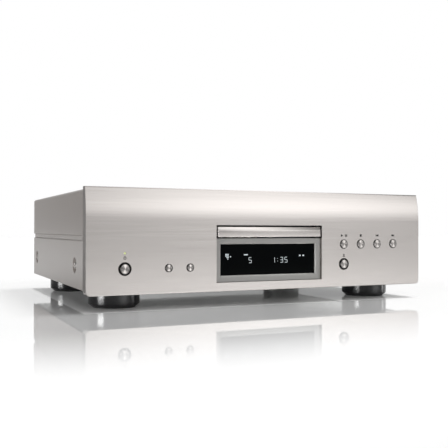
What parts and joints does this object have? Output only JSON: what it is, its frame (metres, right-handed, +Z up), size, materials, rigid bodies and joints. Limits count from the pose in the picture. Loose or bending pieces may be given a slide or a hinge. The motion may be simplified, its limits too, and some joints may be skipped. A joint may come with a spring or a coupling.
{
  "type": "disc player",
  "caption": "Full-width hi-fi disc player: leaning-back metal front with centre tray and display, push buttons, folded steel case, round feet, rear connectors.",
  "frame": {"origin": "on the shelf, under the middle of the whole player's box", "axes": "+X to the right seen from the front, +Y to the back, +Z up; the front panel faces -Y"},
  "size_m": [0.434, 0.342, 0.132],
  "materials": {
    "champagne": "fine brushed, champagne anodised",
    "cover_paint": "satin paint, champagne grey",
    "zinc_steel": "zinc plated sheet",
    "screw_steel": "plated",
    "gloss_black": "polished",
    "satin_black": "moulded, satin",
    "rear_paint": "satin black paint",
    "silver_frame": "satin grey metallic",
    "dark_window": "tinted, polished",
    "tube_glass": "polished",
    "lens_glass": "polished",
    "circuit_board": "solder mask",
    "gold_plate": "gold plated",
    "ivory_plastic": "moulded",
    "belt_rubber": "ground",
    "light_guide": "clear, lit yellow-green"
  },
  "bodies": {
    "chassis": {"front_panel": "champagne", "power_light": "light_guide", "sub_panel": "zinc_steel", "bottom_chassis": "zinc_steel", "top_cover": "cover_paint", "cover_screw_front_left": "screw_steel", "cover_screw_front_right": "screw_steel", "cover_screw_rear_left": "screw_steel", "cover_screw_rear_right": "screw_steel", "foot_front_left": "gloss_black", "foot_front_right": "gloss_black", "foot_rear_left": "gloss_black", "foot_rear_right": "gloss_black", "display_bezel": "silver_frame", "display_window": "dark_window", "display_tube": "tube_glass", "display_board": "circuit_board", "key_board_left": "circuit_board", "key_board_right": "circuit_board", "loader_base": "satin_black", "loading_motor": "zinc_steel", "loading_belt": "belt_rubber", "clamp_bridge": "zinc_steel", "main_board": "circuit_board", "power_board": "circuit_board", "transformer": "zinc_steel", "rear_panel": "rear_paint", "analog_output_left": "gold_plate", "analog_output_right": "gold_plate", "coaxial_output": "gold_plate", "optical_output": "satin_black", "remote_jacks": "satin_black", "mains_inlet": "satin_black"},
    "power_button": {"power_button": "champagne"},
    "disc_layer_button": {"disc_layer_button": "champagne"},
    "pure_direct_button": {"pure_direct_button": "champagne"},
    "open_close_button": {"open_close_button": "champagne"},
    "play_pause_button": {"play_pause_button": "champagne"},
    "stop_button": {"stop_button": "champagne"},
    "skip_back_button": {"skip_back_button": "champagne"},
    "skip_forward_button": {"skip_forward_button": "champagne"},
    "tray": {"tray_door": "champagne", "disc_tray": "satin_black"},
    "drive_gear": {"drive_gear": "ivory_plastic"},
    "pulley_gear": {"pulley_gear": "ivory_plastic"},
    "motor_pulley": {"motor_pulley": "ivory_plastic"},
    "cam_slider": {"cam_slider": "ivory_plastic"},
    "traverse": {"traverse": "zinc_steel", "guide_rail_left": "zinc_steel", "guide_rail_right": "zinc_steel", "spindle_motor": "zinc_steel", "sled_motor": "zinc_steel"},
    "turntable": {"turntable": "satin_black"},
    "pickup": {"pickup": "satin_black", "pickup_lens": "lens_glass"},
    "sled_screw": {"sled_screw": "zinc_steel"},
    "clamp_puck": {"clamp_puck": "satin_black"}
  },
  "joints": [
    {"name": "power_button_press", "type": "slide", "parent": "chassis", "child": "power_button", "axis": [0, 1, 0], "range_m": [0, 0.001], "stiffness_N_per_m": 400, "springref_m": -0.003},
    {"name": "disc_layer_button_press", "type": "slide", "parent": "chassis", "child": "disc_layer_button", "axis": [0, 1, 0], "range_m": [0, 0.001], "stiffness_N_per_m": 400, "springref_m": -0.003},
    {"name": "pure_direct_button_press", "type": "slide", "parent": "chassis", "child": "pure_direct_button", "axis": [0, 1, 0], "range_m": [0, 0.001], "stiffness_N_per_m": 400, "springref_m": -0.003},
    {"name": "open_close_button_press", "type": "slide", "parent": "chassis", "child": "open_close_button", "axis": [0, 1, 0], "range_m": [0, 0.001], "stiffness_N_per_m": 400, "springref_m": -0.003},
    {"name": "play_pause_button_press", "type": "slide", "parent": "chassis", "child": "play_pause_button", "axis": [0, 1, 0], "range_m": [0, 0.001], "stiffness_N_per_m": 400, "springref_m": -0.003},
    {"name": "stop_button_press", "type": "slide", "parent": "chassis", "child": "stop_button", "axis": [0, 1, 0], "range_m": [0, 0.001], "stiffness_N_per_m": 400, "springref_m": -0.003},
    {"name": "skip_back_button_press", "type": "slide", "parent": "chassis", "child": "skip_back_button", "axis": [0, 1, 0], "range_m": [0, 0.001], "stiffness_N_per_m": 400, "springref_m": -0.003},
    {"name": "skip_forward_button_press", "type": "slide", "parent": "chassis", "child": "skip_forward_button", "axis": [0, 1, 0], "range_m": [0, 0.001], "stiffness_N_per_m": 400, "springref_m": -0.003},
    {"name": "tray_slide", "type": "slide", "parent": "chassis", "child": "tray", "axis": [0, -1, 0], "range_m": [0, 0.14]},
    {"name": "drive_gear_spin", "type": "hinge", "parent": "chassis", "child": "drive_gear", "pos_m": [-0.037, -0.13, 0.078], "axis": [0, 0, 1], "range_deg": [0, 450.1]},
    {"name": "pulley_gear_spin", "type": "hinge", "parent": "chassis", "child": "pulley_gear", "pos_m": [-0.01, -0.13, 0.076], "axis": [0, 0, 1], "range_deg": [-900.2, 0]},
    {"name": "motor_pulley_spin", "type": "hinge", "parent": "chassis", "child": "motor_pulley", "pos_m": [0.05, -0.13, 0.072], "axis": [0, 0, 1], "range_deg": [-4115.1, 0]},
    {"name": "cam_slide", "type": "slide", "parent": "chassis", "child": "cam_slider", "axis": [1, 0, 0], "range_m": [0, 0.024]},
    {"name": "drive_lift", "type": "hinge", "parent": "chassis", "child": "traverse", "pos_m": [0, -0.01, 0.07], "axis": [-1, 0, 0], "range_deg": [0, 4.6]},
    {"name": "turntable_spin", "type": "hinge", "parent": "traverse", "child": "turntable", "pos_m": [0, -0.09683, 0.07721], "axis": [0, -0.0785, 0.9969], "continuous": true},
    {"name": "clamp_spin", "type": "hinge", "parent": "chassis", "child": "clamp_puck", "pos_m": [0, -0.096, 0.095], "axis": [0, 0, 1], "continuous": true},
    {"name": "pickup_slide", "type": "slide", "parent": "traverse", "child": "pickup", "axis": [0, 0.9969, 0.0785], "range_m": [0, 0.034]},
    {"name": "sled_screw_spin", "type": "hinge", "parent": "traverse", "child": "sled_screw", "pos_m": [-0.034, -0.07025, 0.07078], "axis": [0, 0.9969, 0.0785], "range_deg": [0, 4120.8]}
  ],
  "couplings": [
    {"joint": "drive_gear_spin", "follows": "tray_slide", "rad_per_m": 55.556},
    {"joint": "pulley_gear_spin", "follows": "tray_slide", "rad_per_m": -111.11},
    {"joint": "motor_pulley_spin", "follows": "tray_slide", "rad_per_m": -507.94},
    {"joint": "drive_lift", "follows": "cam_slide", "rad_per_m": 3.2725},
    {"joint": "clamp_spin", "follows": "turntable_spin", "ratio": 1},
    {"joint": "sled_screw_spin", "follows": "pickup_slide", "rad_per_m": 2094.4}
  ]
}
